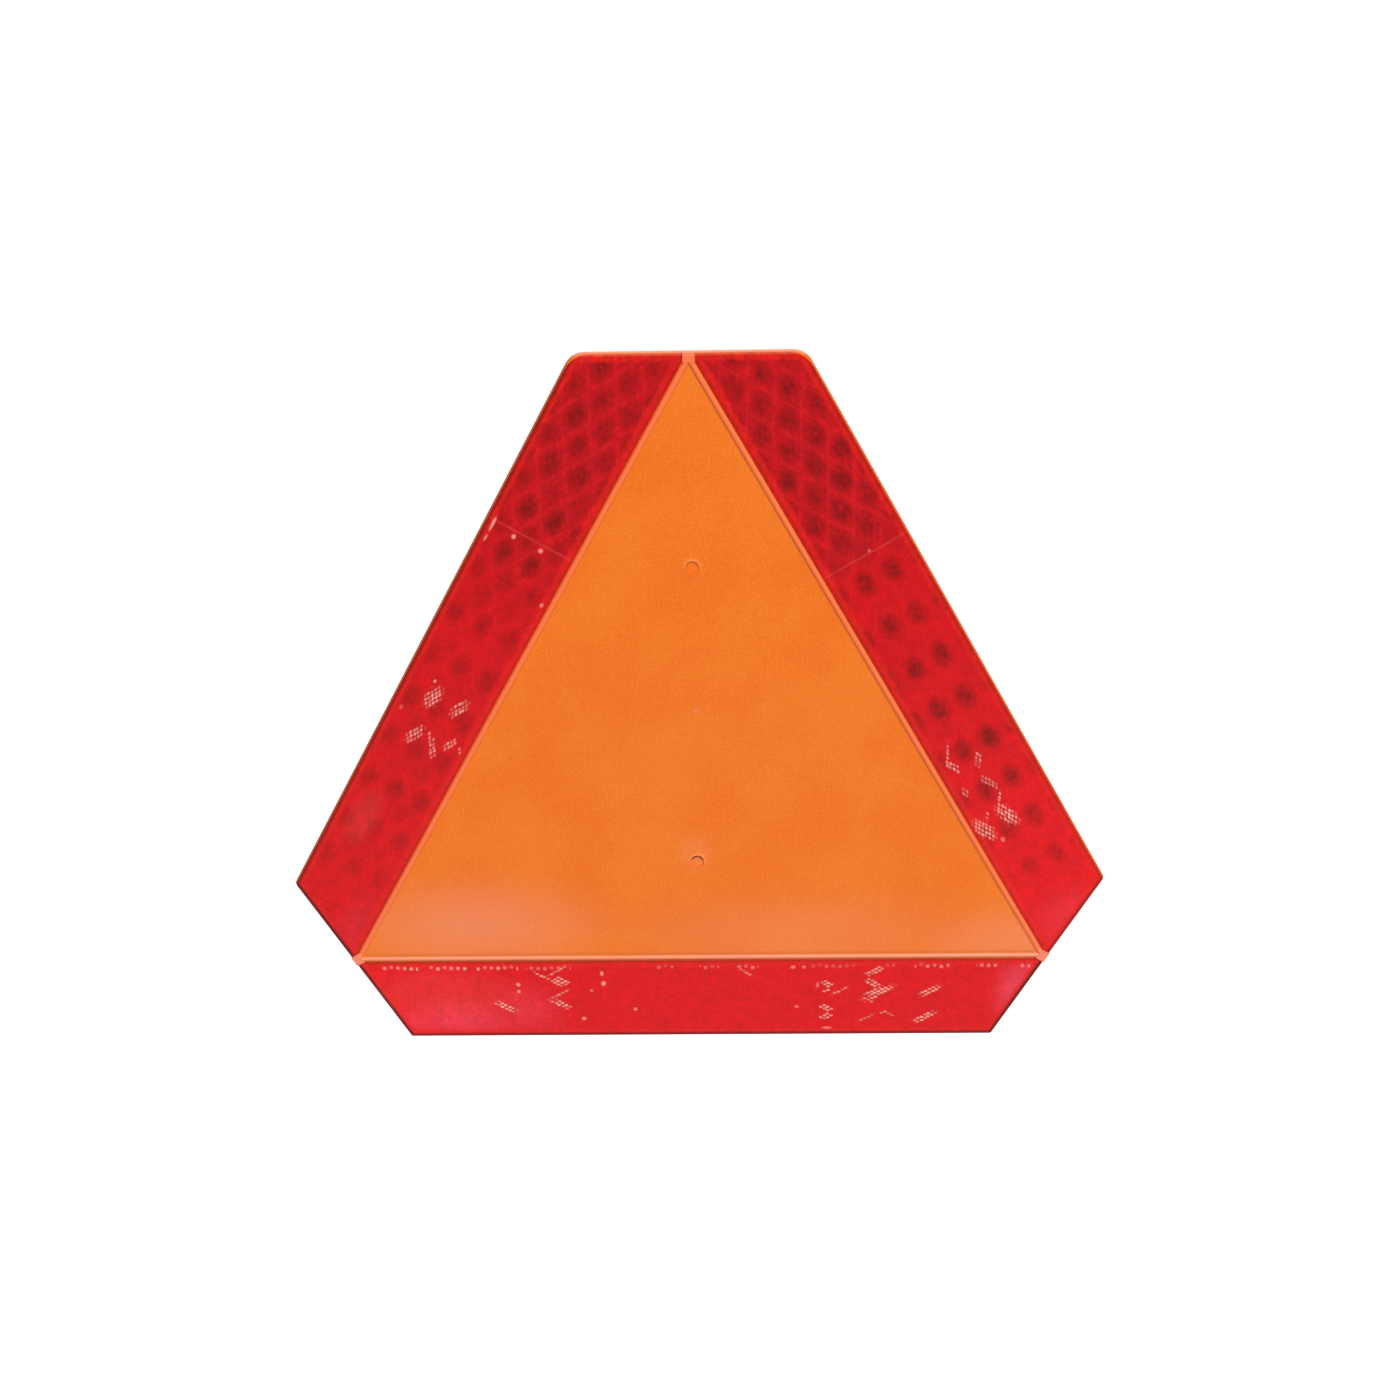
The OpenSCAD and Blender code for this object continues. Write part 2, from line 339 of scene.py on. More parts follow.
WALL_SHADE = 0.1
FULL_RIM_SHADE = 1.7  # more than 1, so that it also holds where the rim turns down only a little
GAP_SHADOW = 0.55  # painted shadow between the bottom bead and its tape
GAP_H = -BOLT_CENTRE_H - 0.4  # the middle of that gap
GAP_HALF = 0.5
SHADE_LEAN = 0.2  # the lit faces turn up, and this much to the right; painted shade falls on the rest
FULL_UPLIGHT = 0.85
UPLIGHT_TILT = (-0.25, 0.35)  # how far up a face turns, from no painted highlight to the full one
TOP_UPLIGHT = 0.7  # on the rim's top edge, as a share of that on the bead
TOP_EDGE = (TOP_H - 2.0, TOP_H - 1.6)
BEAD_HALF = 5.0  # a band that holds the bottom bead
RING_HIGHLIGHT = 0.4
RING_UPPER = (-2.0, 2.5)  # above a mark's middle, from the unlit half to the painted highlight on the upper half
MARK_UPPER = (0.2, 1.6)  # and from the half without to the half with painted shadow
MARK_WALL = (BOLT_R - 1.5, BOLT_R - 0.6)  # from a mark's middle, without painted shadow, to the painted shadow by its wall
MARK_END = BOLT_R + 0.4  # on its ring
MARKS_HALF_W = 8.0  # a box that holds all the marks on the centre line
MARKS_HALF_H = 90.0
MARK_SHADOW = ((BOLT_SPACING / 2, 0.22), (-BOLT_SPACING / 2, 1.0))  # each mark's height and painted shadow

# Paler patches: the three large low ones are a painted reflection of bright surroundings, the
# small ones near the lower mark and at the middle are paler spots. Centre across and up, half
# width and half height, in millimetres, and strength
SHEEN_AND_PALE_PATCHES = [
    (-112.0, -110.0, 74.0, 30.0, 0.68),
    (165.0, -120.0, 70.0, 22.0, 0.55),
    (50.0, -116.0, 105.0, 28.0, 0.32),
    (-1.0, -70.0, 12.0, 12.0, 0.25),
    (0.5, -76.2, 3.0, 2.2, 0.5),
    (0.5, 4.8, 3.2, 2.4, 0.32),
]
BEAD_FOOT_H = -BOLT_CENTRE_H + 3.3  # where the bottom bead meets the triangle
FOOT_REACH = (1.5, 0.2)  # the painted shade's distance from there, from none to all of it
FOOT_SHADE = 0.45
LAND_L = 6.0  # the painted shade along the bead's foot stops this far from the triangle's points


def panel_painted_shade(tree, across, height, height_up, facing, front):
    """Painted shade where the rounded rim turns down, away from the light from above on the
    right, and a painted shadow in the gap between the bottom bead and its tape. The marks on the
    centre line have none."""
    upwards = add(tree, "Math", (facing[0], SHADE_LEAN, facing[2]), operation="MULTIPLY_ADD")
    in_plane = add(
        tree,
        "VectorMath",
        [add(tree, "CombineXYZ", (facing[0], 0.0, facing[2]))],
        out=1,
        operation="LENGTH",
    )
    upward_share = add(tree, "Math", (upwards, in_plane), operation="DIVIDE")
    downward_share = add(tree, "Math", (1.0, upward_share), operation="SUBTRACT")
    steepness = add(tree, "Math", (in_plane, 0.5), operation="POWER")
    downwards = add(tree, "Math", (steepness, downward_share), operation="MULTIPLY")

    on_rim = add(tree, "MapRange", (height, RIM_FROM, RIM_FULL, WALL_SHADE, FULL_RIM_SHADE))
    below_crests = add(tree, "MapRange", (height, *FACE_END, 1.0, 0.0))
    edge_shade = add(tree, "Math", (on_rim, below_crests), operation="MULTIPLY")
    edge_shade = add(tree, "Math", (edge_shade, downwards), operation="MULTIPLY", use_clamp=True)
    by_centre = add(tree, "Math", (across, 0.0, MARKS_HALF_W), operation="COMPARE")
    by_marks = add(tree, "Math", (height_up, 0.0, MARKS_HALF_H), operation="COMPARE")
    by_marks = add(tree, "Math", (by_centre, by_marks), operation="MULTIPLY")
    off_marks = add(tree, "Math", (1.0, by_marks), operation="SUBTRACT")
    edge_shade = add(tree, "Math", (edge_shade, off_marks), operation="MULTIPLY")

    in_gap = add(tree, "Math", (height_up, GAP_H, GAP_HALF), operation="COMPARE")
    for where in (below_crests, front):
        in_gap = add(tree, "Math", (in_gap, where), operation="MULTIPLY")
    return add(tree, "Math", (in_gap, GAP_SHADOW, edge_shade), operation="MULTIPLY_ADD", use_clamp=True)


def panel_uplight(tree, height_up, facing, crest):
    """A painted highlight where the bottom bead and the rim's top edge face up to the light."""
    by_base = add(tree, "Math", (height_up, -BOLT_CENTRE_H, BEAD_HALF), operation="COMPARE")
    on_base_bead = add(tree, "Math", (by_base, crest), operation="MULTIPLY")
    on_top = add(tree, "MapRange", (height_up, *TOP_EDGE, 0.0, TOP_UPLIGHT))
    uplit = add(tree, "Math", (on_base_bead, on_top), operation="MAXIMUM")
    facing_up = add(tree, "MapRange", (facing[2], *UPLIGHT_TILT, 0.0, FULL_UPLIGHT))
    return add(tree, "Math", (uplit, facing_up), operation="MULTIPLY")


def bolt_marks(tree, flat_place, height, height_up, front):
    """The painted highlight on the upper halves of the rings round the bolt marks, and the
    painted shadow in the upper halves of the marks."""
    mirrored = add(tree, "VectorMath", [flat_place], operation="ABSOLUTE")
    from_mark = add(
        tree, "VectorMath", (mirrored, (0, 0, BOLT_SPACING / 2)), out=1, operation="DISTANCE"
    )
    on_ring = add(tree, "MapRange", (height, *RING_SIDE, 0.0, RING_HIGHLIGHT))
    near_mark = add(tree, "Math", (from_mark, RING_R), operation="LESS_THAN")
    by_wall = add(
        tree, "MapRange", (from_mark, *MARK_WALL, 0.0, 1.0), interpolation_type="SMOOTHSTEP"
    )
    below_ring = add(tree, "MapRange", (height, *MARK_MOUTH, 1.0, 0.0))
    inside_ring = add(tree, "Math", (from_mark, MARK_END), operation="LESS_THAN")

    painted_dark = 0.0
    upper_half = 0.0
    for mark_h, amount in MARK_SHADOW:
        above = add(tree, "Math", (height_up, mark_h), operation="SUBTRACT")
        near = add(tree, "Math", (above, 0.0, RING_R), operation="COMPARE")
        high = add(
            tree, "MapRange", (above, *MARK_UPPER, 0.0, 1.0), interpolation_type="SMOOTHSTEP"
        )
        arch = add(
            tree, "MapRange", (above, *RING_UPPER, 0.0, 1.0), interpolation_type="SMOOTHSTEP"
        )
        high = add(tree, "Math", (high, near), operation="MULTIPLY")
        arch = add(tree, "Math", (arch, near), operation="MULTIPLY")
        painted_dark = add(tree, "Math", (high, amount, painted_dark), operation="MULTIPLY_ADD")
        upper_half = add(tree, "Math", (upper_half, arch), operation="ADD")
    for where in (by_wall, below_ring, inside_ring, front):
        painted_dark = add(tree, "Math", (painted_dark, where), operation="MULTIPLY")
    ring_highlight = add(tree, "Math", (on_ring, near_mark), operation="MULTIPLY")
    return add(tree, "Math", (ring_highlight, upper_half), operation="MULTIPLY"), painted_dark


def bead_foot_shade(tree, across, height_up, front):
    """Painted shade in the crease along the inner foot of the bottom bead."""
    off_foot = add(tree, "Math", (height_up, BEAD_FOOT_H), operation="SUBTRACT")
    off_foot = add(tree, "Math", [off_foot], operation="ABSOLUTE")
    painted_dark = add(
        tree,
        "MapRange",
        (off_foot, *FOOT_REACH, 0.0, FOOT_SHADE),
        interpolation_type="SMOOTHSTEP",
    )
    off_lands = add(tree, "Math", (across, 0.0, TRIANGLE_SIDE / 2 - LAND_L), operation="COMPARE")
    for where in (off_lands, front):
        painted_dark = add(tree, "Math", (painted_dark, where), operation="MULTIPLY")
    return painted_dark


def moulded_plastic():
    """Injection moulded polypropylene with fluorescent pigment. The pigment gives a bright flat
    orange with hardly any shading in it, and the eroded mould leaves a fine, even, satin skin.
    Over it are painted light and shade: a pinker highlight on the crests, shade where the rounded
    rim faces down, a pale highlight where it faces up, shadow in the marks and at the bottom
    bead's foot, and a reflection low on the triangle."""
    material, tree = new_material("fluorescent_moulded_polypropylene")
    place = add(
        tree, "Mapping", {"Vector": add(tree, "TexCoord", out=3), "Scale": (1 / MM,) * 3}
    )
    flat_place = add(tree, "VectorMath", (place, (1, 0, 1)), operation="MULTIPLY")
    across, inwards, height_up = add(tree, "SeparateXYZ", [place]).node.outputs
    height = add(tree, "Math", (inwards, -1.0), operation="MULTIPLY")
    front = add(tree, "Math", (height, PLATE_T / 2), operation="GREATER_THAN")
    facing = add(tree, "SeparateXYZ", [add(tree, "TexCoord", out=1)]).node.outputs

    flow = add(tree, "TexNoise", {"Vector": place, "Scale": 1 / FLOW_SIZE, "Detail": 3.0})
    grain = add(tree, "TexNoise", {"Vector": place, "Scale": 1 / GRAIN_SIZE, "Detail": 2.0})
    speckle = add(tree, "TexNoise", {"Vector": place, "Scale": 1 / SPECKLE_SIZE, "Detail": 1.0})
    cloud = add(
        tree,
        "MapRange",
        (flow, *NOISE_CORE, -FLOW_PALE, FLOW_PALE),
        interpolation_type="SMOOTHSTEP",
    )
    mottle = add(tree, "Math", (speckle, SPECKLE_PALE, cloud), operation="MULTIPLY_ADD")
    fine = add(tree, "MapRange", (grain, *NOISE, *GRAIN_PALE))
    mottle = add(tree, "Math", (fine, mottle), operation="ADD")

    sheen_and_pale = soft_patches(tree, flat_place, SHEEN_AND_PALE_PATCHES)
    sheen_and_pale = add(tree, "Math", (sheen_and_pale, front), operation="MULTIPLY")
    crest = add(
        tree,
        "MapRange",
        (height, CREST_FROM, CREST_FULL, 0.0, 1.0),
        interpolation_type="SMOOTHSTEP",
    )
    ring_highlight, painted_dark = bolt_marks(tree, flat_place, height, height_up, front)
    layers = [
        (mottle, MOULDED_ORANGE_PALE),
        (sheen_and_pale, PALE_SHEEN_ORANGE),
        (bead_foot_shade(tree, across, height_up, front), FOOT_SHADE_BROWN),
        (ring_highlight, RING_HIGHLIGHT_ORANGE),
        (crest, CREST_HIGHLIGHT_PINK),
        (panel_uplight(tree, height_up, facing, crest), UPLIT_PEACH),
        (painted_dark, RECESS_SHADOW_BROWN),
        (panel_painted_shade(tree, across, height, height_up, facing, front), RIM_SHADE_MAROON),
    ]
    shade = add(tree, "MapRange", (grain, *NOISE, 1 - GRAIN_SHADE, 1 + GRAIN_SHADE))
    roughness = add(tree, "MapRange", (grain, *NOISE, *SATIN))
    colour = layered(tree, MOULDED_ORANGE, layers, shade)
    finish_plastic(tree, colour, roughness, MOULDED_SPECULAR, grain, GRAIN_DEPTH)
    return material


# ---------------------------------------------------------------- the prismatic tape

FILM_RED = "#da0d14"
# Painted shade where the prisms send the light away: a deeper red, and the cells' dark middles
FILM_SHADED_RED = "#be0a16"
FILM_SHADED_DARK = "#880405"
SEALED_RED = "#dc1b12"
SEAL_LINE_RED = "#cc1f26"
CROSS_SEAL_PINK = "#dc4642"
GLINT_PINK = "#ffa79b"
EDGE_SALMON = "#e56a48"
# Painted shade on the tape's cut edges, beside the rim and along the bead
EDGE_SHADE_RED = "#760c10"
# Painted reflection of pale surroundings on the film
REFLECTION_PINK = "#e84153"

SPOT_HALF_L = 7.2  # the dark middle of a cell
SPOT_HALF_W = 5.2
SPOT_FADE = (1.3, 0.2)  # from the clear film to the darkest, in the spot's half sizes
SPOT_STRAY = 0.2  # how far, in cells, the spot's outline wanders
BLOT_SIZE = 3.0  # the waves of that outline
FRAY_SIZE = 2.2  # the lighter and darker places within a spot
FRAY = (0.6, 1.15)
UNEVEN_SPOTS = (0.8, 1.15)  # how dark single spots are, as a share of what they should be
SEAL_FADE = (2.4, 0.2)  # from the film to the full line, in half widths of a seal
SEAL_STRENGTH = 0.33
CROSS_SEAL_FADE = (0.9, 0.2)  # the same for the cross seal, in millimetres
CROSS_SEAL_STRENGTH = 0.3

MARGIN_FADE = (6.2, 4.2)  # from the cells to the sealed margin, before it wanders
MARGIN_STRENGTH = 0.8
WANDER = 2.4
WANDER_SIZE = 4.0
CUT_EDGE_W = 2.8
BEAD_EDGE_W = 2.0
EDGE_SOLID = 0.6  # the share of a shaded edge's width that is at its full strength
PALE_EDGE_FADE = (1.9, 1.2)
PALE_EDGE_STRENGTH = 0.65

DOT_FADE = (0.56, 0.2)  # from the end of a glint's dot to its bright middle, in prisms
DOT_DRIFT = 0.3  # how far the dots stray, in prisms
DOT_LEAST = 0.5  # how bright the dullest dots are
GLINT_FADE = (1.3, 0.7)  # from the end of a patch of dots to its full strength, in half sizes
SPECK_SOLID = 0.4  # the share of a bright speck that is at its full strength
ROW_DOT_FADE = (1.4, 0.4)  # from the end of a dot to its bright middle, in millimetres
ROW_DOT_STRENGTH = 0.85
ROW_STRAY = 0.7  # how far the dots of a row lie off its line
ROW_UNEVEN = (0.4, 1.1)
GLINT_GAPS = 0.78  # how much darker the film is painted between the dots of a glint

STREAK = 0.1  # how much flecks are lighter or darker, and single prisms half as much
SEAL_STREAK = 0.12  # and the streaks along the seals
FLECK_SIZE = 0.8
MOTTLE = (0.94, 1.06)
MOTTLE_SIZE = 5.0
CLOUDS = 0.25  # how much the painted deep red shade comes and goes
CLOUD_SIZE = 14.0
WAVE_SIZE = 6.0  # the face film's waves, which the bump shows
WAVE_DEPTH = 0.04  # millimetres
SEAL_SINK = -0.15  # how far the seals are below the waves, as a share of their depth
FILM_ROUGH = 0.22
SEAL_ROUGH = 0.4
FILM_SPECULAR = 0.15

ROOT2 = math.sqrt(2)
CELL_SIDE = math.hypot(CELL_L, CELL_W) / 2
CELL_STEP = CELL_L * CELL_W / 2 / CELL_SIDE  # between two parallel seals
PRISM = CELL_SIDE / PRISM_ROWS
END_CUT = math.radians(60)  # between a side of the triangle and the tapes' cut ends

# From millimetres on a tape to cells along the rising seals in X and along the falling seals in
# Z, with whole numbers at the seals
TO_CELLS = Matrix.Rotation(math.radians(45), 3, "Y")
CELL_SCALE = Vector((ROOT2 / CELL_L, 0, ROOT2 / CELL_W))


def on_tape(tree, start, end):
    """Millimetres along the tape in X and out across it in Z."""
    along = (end - start).normalized()
    turn = Matrix.Rotation(math.atan2(along.z, along.x), 3, "Y")
    return add(
        tree,
        "Mapping",
        {
            "Vector": add(tree, "TexCoord", out=3),
            "Scale": (1 / MM,) * 3,
            "Rotation": turn.to_euler(),
            "Location": -(turn @ start),
        },
    )


def levels_along(tree, run, table):
    """How dark the middles are in the full rows and in those between, how deep the red is, and
    how much lighter the film is, at a distance along its tape: painted shade, and a painted
    veil of reflected light."""
    ramp = add(
        tree, "ValToRGB", [add(tree, "Math", (run, TRIANGLE_SIDE), operation="DIVIDE")]
    )
    stops = ramp.node.color_ramp.elements
    while len(stops) < len(table):
        stops.new(1.0)
    for stop, (at, *levels) in zip(stops, table):
        stop.position = at / TRIANGLE_SIDE
        stop.color = levels
    lighter = add(tree, "Math", (ramp.node.outputs[1], 1.0), operation="ADD")
    return (*add(tree, "SeparateColor", [ramp]).node.outputs, lighter)


def dark_middles(tree, place, cell, in_cell, shift, full_dark, between_dark):
    """A ragged dark spot in the middle of each cell, as dark as its row is there: painted shade
    where the prisms send the light away.
    """
    chance = add(tree, "TexWhiteNoise", {"Vector": cell, "W": shift}, noise_dimensions="4D")
    uneven = add(tree, "MapRange", (chance, 0.0, 1.0, *UNEVEN_SPOTS))
    cell_axes = add(tree, "SeparateXYZ", [cell]).node.outputs
    row = add(tree, "Math", (cell_axes[0], cell_axes[2]), operation="ADD")
    row_between = add(tree, "Math", (row, 2.0), operation="FLOORED_MODULO")
    dark = add(tree, "Mix", {0: row_between, 2: full_dark, 3: between_dark})

    blot = add(tree, "TexNoise", {"Vector": place, "Scale": 1 / BLOT_SIZE, "Detail": 2.0}, out=1)
    strayed = add(
        tree,
        "VectorMath",
        [blot, (SPOT_STRAY, 0, SPOT_STRAY), in_cell],
        operation="MULTIPLY_ADD",
    )
    off = reach(
        tree,
        strayed,
        (SPOT_STRAY / 2, 0, SPOT_STRAY / 2),
        (SPOT_HALF_L * ROOT2 / CELL_L, 1, SPOT_HALF_W * ROOT2 / CELL_W),
        turn=(0, math.radians(45), 0),
    )
    spot = add(tree, "MapRange", (off, *SPOT_FADE, 0.0, 1.0), interpolation_type="SMOOTHSTEP")
    frayed = add(tree, "TexNoise", {"Vector": place, "Scale": 1 / FRAY_SIZE, "Detail": 2.0})
    frayed = add(tree, "MapRange", (frayed, *NOISE_CORE, *FRAY))
    for factor in (uneven, dark, frayed):
        spot = add(tree, "Math", (spot, factor), operation="MULTIPLY")
    return spot


def cell_seals(tree, in_cell):
    """The soft lines of the welds between the cells."""
    off_middle = add(tree, "VectorMath", [in_cell], operation="ABSOLUTE")
    edge_axes = add(tree, "SeparateXYZ", [off_middle]).node.outputs
    edge = add(tree, "Math", (edge_axes[0], edge_axes[2]), operation="MAXIMUM")
    half_seal = SEAL_W / 2 / CELL_STEP
    clear, full = (0.5 - share * half_seal for share in SEAL_FADE)
    return add(
        tree, "MapRange", (edge, clear, full, 0.0, 1.0), interpolation_type="SMOOTHSTEP"
    )


def cross_seal_line(tree, run, shift, seam):
    """The line of the weld that runs straight across the tape."""
    seam_at = TRIANGLE_SIDE / 2 - shift - seam * SEAM_CELLS * CELL_L
    off_seam = add(tree, "Math", (run, seam_at), operation="SUBTRACT")
    off_seam = add(tree, "Math", [off_seam], operation="ABSOLUTE")
    return add(
        tree, "MapRange", (off_seam, *CROSS_SEAL_FADE, 0.0, 1.0), interpolation_type="SMOOTHSTEP"
    )


def tape_edges(tree, place, run, rise, edge_shade, pale_end):
    """The sealed margin along the tape's edges, the painted shade on its cut edges, and the pale
    line on the cut end that catches the light, a painted highlight."""
    half = TRIANGLE_SIDE / 2
    to_outside = add(tree, "Math", (BORDER_W, rise), operation="SUBTRACT")
    off_half = add(tree, "Math", (run, half), operation="SUBTRACT")
    past_half = add(tree, "Math", [off_half], operation="ABSOLUTE")
    to_end = add(
        tree,
        "VectorMath",
        [
            add(tree, "CombineXYZ", (past_half, rise, 1.0)),
            (-math.sin(END_CUT), -math.cos(END_CUT), half * math.sin(END_CUT)),
        ],
        out=1,
        operation="DOT_PRODUCT",
    )
    to_edge = add(tree, "Math", (to_outside, to_end), operation="MINIMUM")
    to_edge = add(tree, "Math", (to_edge, rise), operation="MINIMUM")
    wander = add(tree, "TexNoise", {"Vector": place, "Scale": 1 / WANDER_SIZE, "Detail": 2.0})
    strayed_edge = add(tree, "Math", (wander, WANDER, to_edge), operation="MULTIPLY_ADD")
    margin = add(
        tree,
        "MapRange",
        (strayed_edge, *MARGIN_FADE, 0.0, MARGIN_STRENGTH),
        interpolation_type="SMOOTHSTEP",
    )

    outside_shade, start_shade, end_shade, bead_shade = edge_shade
    second_half = add(tree, "Math", (off_half, 0.0), operation="GREATER_THAN")
    end_shade = add(tree, "MapRange", (second_half, 0.0, 1.0, start_shade, end_shade))
    shaded_edge = 0.0
    for distance, width, amount in (
        (to_outside, CUT_EDGE_W, outside_shade),
        (to_end, CUT_EDGE_W, end_shade),
        (rise, BEAD_EDGE_W, bead_shade),
    ):
        dark_edge = add(
            tree,
            "MapRange",
            (distance, width, width * EDGE_SOLID, 0.0, amount),
            interpolation_type="SMOOTHSTEP",
        )
        shaded_edge = add(tree, "Math", (shaded_edge, dark_edge), operation="MAXIMUM")

    pale_edge = 0.0
    if pale_end:
        pale_edge = add(tree, "MapRange", (to_end, *PALE_EDGE_FADE, 0.0, PALE_EDGE_STRENGTH))
        towards_end = add(tree, "Math", (off_half, float(pale_end)), operation="MULTIPLY")
        at_end = add(tree, "Math", (towards_end, 0.0), operation="GREATER_THAN")
        pale_edge = add(tree, "Math", (pale_edge, at_end), operation="MULTIPLY")
    return margin, shaded_edge, pale_edge


def lit_prisms(tree, prisms, prism, prism_chance, first, glints):
    """The painted glints: bright dots, one for each prism, in patches of whole prisms, and the
    gaps between the dots, which are painted darker."""
    nearest = (1 - DOT_DRIFT) / 2
    drift = add(
        tree,
        "VectorMath",
        [prism_chance.node.outputs[1], (DOT_DRIFT, 0, DOT_DRIFT), (nearest, 0, nearest)],
        operation="MULTIPLY_ADD",
    )
    in_prism = add(tree, "VectorMath", [prisms], operation="FRACTION")
    off_dot = add(tree, "VectorMath", [in_prism, drift], operation="DISTANCE", out=1)
    dot = add(
        tree, "MapRange", (off_dot, *DOT_FADE, 0.0, 1.0), interpolation_type="SMOOTHSTEP"
    )
    brightness = add(tree, "MapRange", (prism_chance, 0.0, 0.7, DOT_LEAST, 1.0))
    dot = add(tree, "Math", (dot, brightness), operation="MULTIPLY")

    lit = 0.0
    for at, out_at, rising, falling, strength in glints:
        middle = PRISM_ROWS * (TO_CELLS @ (CELL_SCALE * (Vector((at, 0, out_at)) - first)))
        count_x, count_z = (max(1, round(length / PRISM)) for length in (rising, falling))
        low_x = round(middle.x - count_x / 2)
        low_z = round(middle.z - count_z / 2)
        off = reach(
            tree,
            prism,
            (low_x + (count_x - 1) / 2, 0, low_z + (count_z - 1) / 2),
            (count_x / 2, 1, count_z / 2),
        )
        patch = add(tree, "MapRange", (off, *GLINT_FADE, 0.0, strength))
        lit = add(tree, "Math", (lit, patch), operation="MAXIMUM")
    off_dots = add(tree, "Math", (1.0, dot), operation="SUBTRACT")
    gaps = add(tree, "Math", (off_dots, lit), operation="MULTIPLY")
    return add(tree, "Math", (lit, dot), operation="MULTIPLY"), gaps


def seal_glints(tree, run, rise, row_at, stretches):
    """A row of small painted glints of bright prisms along a seal, in the stretches that show."""
    steps = add(tree, "Math", (run, DOT_STEP), operation="DIVIDE")
    in_step = add(tree, "Math", [steps], operation="FRACT")
    step = add(tree, "Math", [steps], operation="FLOOR")
    chance = add(tree, "TexWhiteNoise", {"W": step}, noise_dimensions="1D")
    aside = add(tree, "Math", (in_step, DOT_STEP, -DOT_STEP / 2), operation="MULTIPLY_ADD")
    dot_at = add(tree, "MapRange", (chance, 0.0, 1.0, row_at - ROW_STRAY, row_at + ROW_STRAY))
    above = add(tree, "Math", (rise, dot_at), operation="SUBTRACT")
    off = add(
        tree,
        "VectorMath",
        [add(tree, "CombineXYZ", (aside, above, 0.0))],
        out=1,
        operation="LENGTH",
    )
    dots = add(
        tree,
        "MapRange",
        (off, *ROW_DOT_FADE, 0.0, ROW_DOT_STRENGTH),
        interpolation_type="SMOOTHSTEP",
    )
    shown = 0.0
    for low, high, strength in stretches:
        inside = add(tree, "Math", (run, (low + high) / 2, (high - low) / 2), operation="COMPARE")
        shown = add(tree, "Math", (inside, strength, shown), operation="MULTIPLY_ADD")
    uneven = add(tree, "MapRange", (chance, 0.1, 0.8, *ROW_UNEVEN))
    for factor in (shown, uneven):
        dots = add(tree, "Math", (dots, factor), operation="MULTIPLY")
    return dots


def film_shade(tree, place, prisms, prism_chance, deep, lighter, gaps):
    """How much lighter or darker than its colour the film is. Every prism differs a little, and
    so do small flecks, and the deep red also has short streaks along both ways of the seals. The
    painted veil of reflected light lightens it, and it is painted darker between the dots of the
    painted glints."""
    shade = add(tree, "MapRange", (prism_chance, 0.0, 1.0, 1 - STREAK / 2, 1 + STREAK / 2))
    fleck = add(tree, "TexNoise", {"Vector": place, "Scale": 1 / FLECK_SIZE, "Detail": 1.0})
    fleck = add(tree, "MapRange", (fleck, *NOISE, 1 - STREAK, 1 + STREAK))
    mottle = add(tree, "TexNoise", {"Vector": place, "Scale": 1 / MOTTLE_SIZE, "Detail": 3.0})
    mottle = add(tree, "MapRange", (mottle, *NOISE, *MOTTLE))
    darker_gaps = add(tree, "MapRange", (gaps, 0.0, 1.0, 1.0, GLINT_GAPS))
    factors = [fleck, mottle, lighter, darker_gaps]
    for stretch in ((1.0, 1.0, 0.3), (0.3, 1.0, 1.0)):
        stretched = add(tree, "VectorMath", [prisms, stretch], operation="MULTIPLY")
        streak = add(tree, "TexNoise", {"Vector": stretched, "Scale": 1.0, "Detail": 1.0})
        streak = add(tree, "MapRange", (streak, *NOISE, -SEAL_STREAK, SEAL_STREAK))
        factors.append(add(tree, "Math", (streak, deep, 1.0), operation="MULTIPLY_ADD"))
    for factor in factors:
        shade = add(tree, "Math", (shade, factor), operation="MULTIPLY")
    return shade


